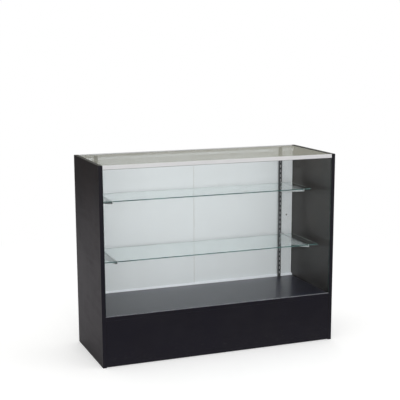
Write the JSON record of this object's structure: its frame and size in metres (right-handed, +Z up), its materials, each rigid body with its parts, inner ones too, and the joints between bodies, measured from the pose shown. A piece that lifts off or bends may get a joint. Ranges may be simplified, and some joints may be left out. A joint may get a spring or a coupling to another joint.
{
  "type": "full view retail display showcase",
  "caption": "Free-standing display case with black end panels and base, glass front, top and shelves on slotted standards, and sliding white doors closing the back.",
  "frame": {"origin": "on the floor, under the middle of the case", "axes": "+X along the width to the right as a shopper faces the front, +Y from the glass front towards the doors, +Z up"},
  "size_m": [1.2192, 0.4572, 0.9652],
  "materials": {
    "black_board": "black melamine, satin",
    "underside_board": "black board, matt",
    "clear_glass": "clear, polished edges",
    "clear_vinyl": "clear extruded vinyl",
    "black_vinyl": "black extruded vinyl",
    "satin_aluminium": "satin anodised",
    "white_track": "white, semi-matt",
    "white_door": "white laminated board",
    "black_steel": "black coated steel",
    "bright_steel": "bright plated steel",
    "black_plastic": "moulded, black",
    "cast_zinc": "plain die-cast zinc"
  },
  "bodies": {
    "case": {"end_panel_left": "black_board", "end_panel_right": "black_board", "deck_panel": "black_board", "kick_panel": "black_board", "rear_base_panel": "black_board", "centre_support": "underside_board", "glass_front": "clear_glass", "glass_top": "clear_glass", "front_glass_channel": "clear_vinyl", "cushion_upper_left": "clear_vinyl", "cushion_upper_right": "clear_vinyl", "cushion_lower_left": "clear_vinyl", "cushion_lower_right": "clear_vinyl", "front_glass_gasket": "black_vinyl", "front_top_rail": "satin_aluminium", "rear_top_rail": "satin_aluminium", "door_track_bottom": "white_track", "door_track_top": "white_track", "standard_left": "black_steel", "standard_right": "black_steel", "standard_screw_left": "black_steel", "standard_screw_right": "black_steel", "foot_screw_left": "black_steel", "foot_screw_right": "black_steel", "rail_screw_front_left": "black_steel", "rail_screw_front_right": "black_steel", "rail_screw_rear_left": "black_steel", "rail_screw_rear_right": "black_steel", "bracket_upper_left": "bright_steel", "bracket_upper_right": "bright_steel", "bracket_lower_left": "bright_steel", "bracket_lower_right": "bright_steel", "bolt_deck_front_left": "bright_steel", "bolt_deck_front_right": "bright_steel", "bolt_deck_rear_left": "bright_steel", "bolt_deck_rear_right": "bright_steel", "bolt_kick_left": "bright_steel", "bolt_kick_right": "bright_steel", "bolt_rear_base_left": "bright_steel", "bolt_rear_base_right": "bright_steel", "standard_foot_left": "black_plastic", "standard_foot_right": "black_plastic", "cam_deck_front_left": "cast_zinc", "cam_deck_front_right": "cast_zinc", "cam_deck_rear_left": "cast_zinc", "cam_deck_rear_right": "cast_zinc", "cam_kick_left": "cast_zinc", "cam_kick_right": "cast_zinc", "cam_rear_base_left": "cast_zinc", "cam_rear_base_right": "cast_zinc"},
    "left_door": {"door_left": "white_door", "door_pull_left": "black_plastic", "door_pull_screw_left": "black_steel"},
    "right_door": {"door_right": "white_door", "door_pull_right": "black_plastic", "door_pull_screw_right": "black_steel"},
    "upper_shelf": {"glass_shelf_upper": "clear_glass"},
    "lower_shelf": {"glass_shelf_lower": "clear_glass"}
  },
  "joints": [
    {"name": "left_door_slide", "type": "slide", "parent": "case", "child": "left_door", "axis": [1, 0, 0], "range_m": [0, 0.573]},
    {"name": "right_door_slide", "type": "slide", "parent": "case", "child": "right_door", "axis": [1, 0, 0], "range_m": [-0.573, 0]},
    {"name": "upper_shelf_lift", "type": "slide", "parent": "case", "child": "upper_shelf", "axis": [0, 0, 1], "range_m": [0, 0.04]},
    {"name": "lower_shelf_lift", "type": "slide", "parent": "case", "child": "lower_shelf", "axis": [0, 0, 1], "range_m": [0, 0.04]}
  ]
}
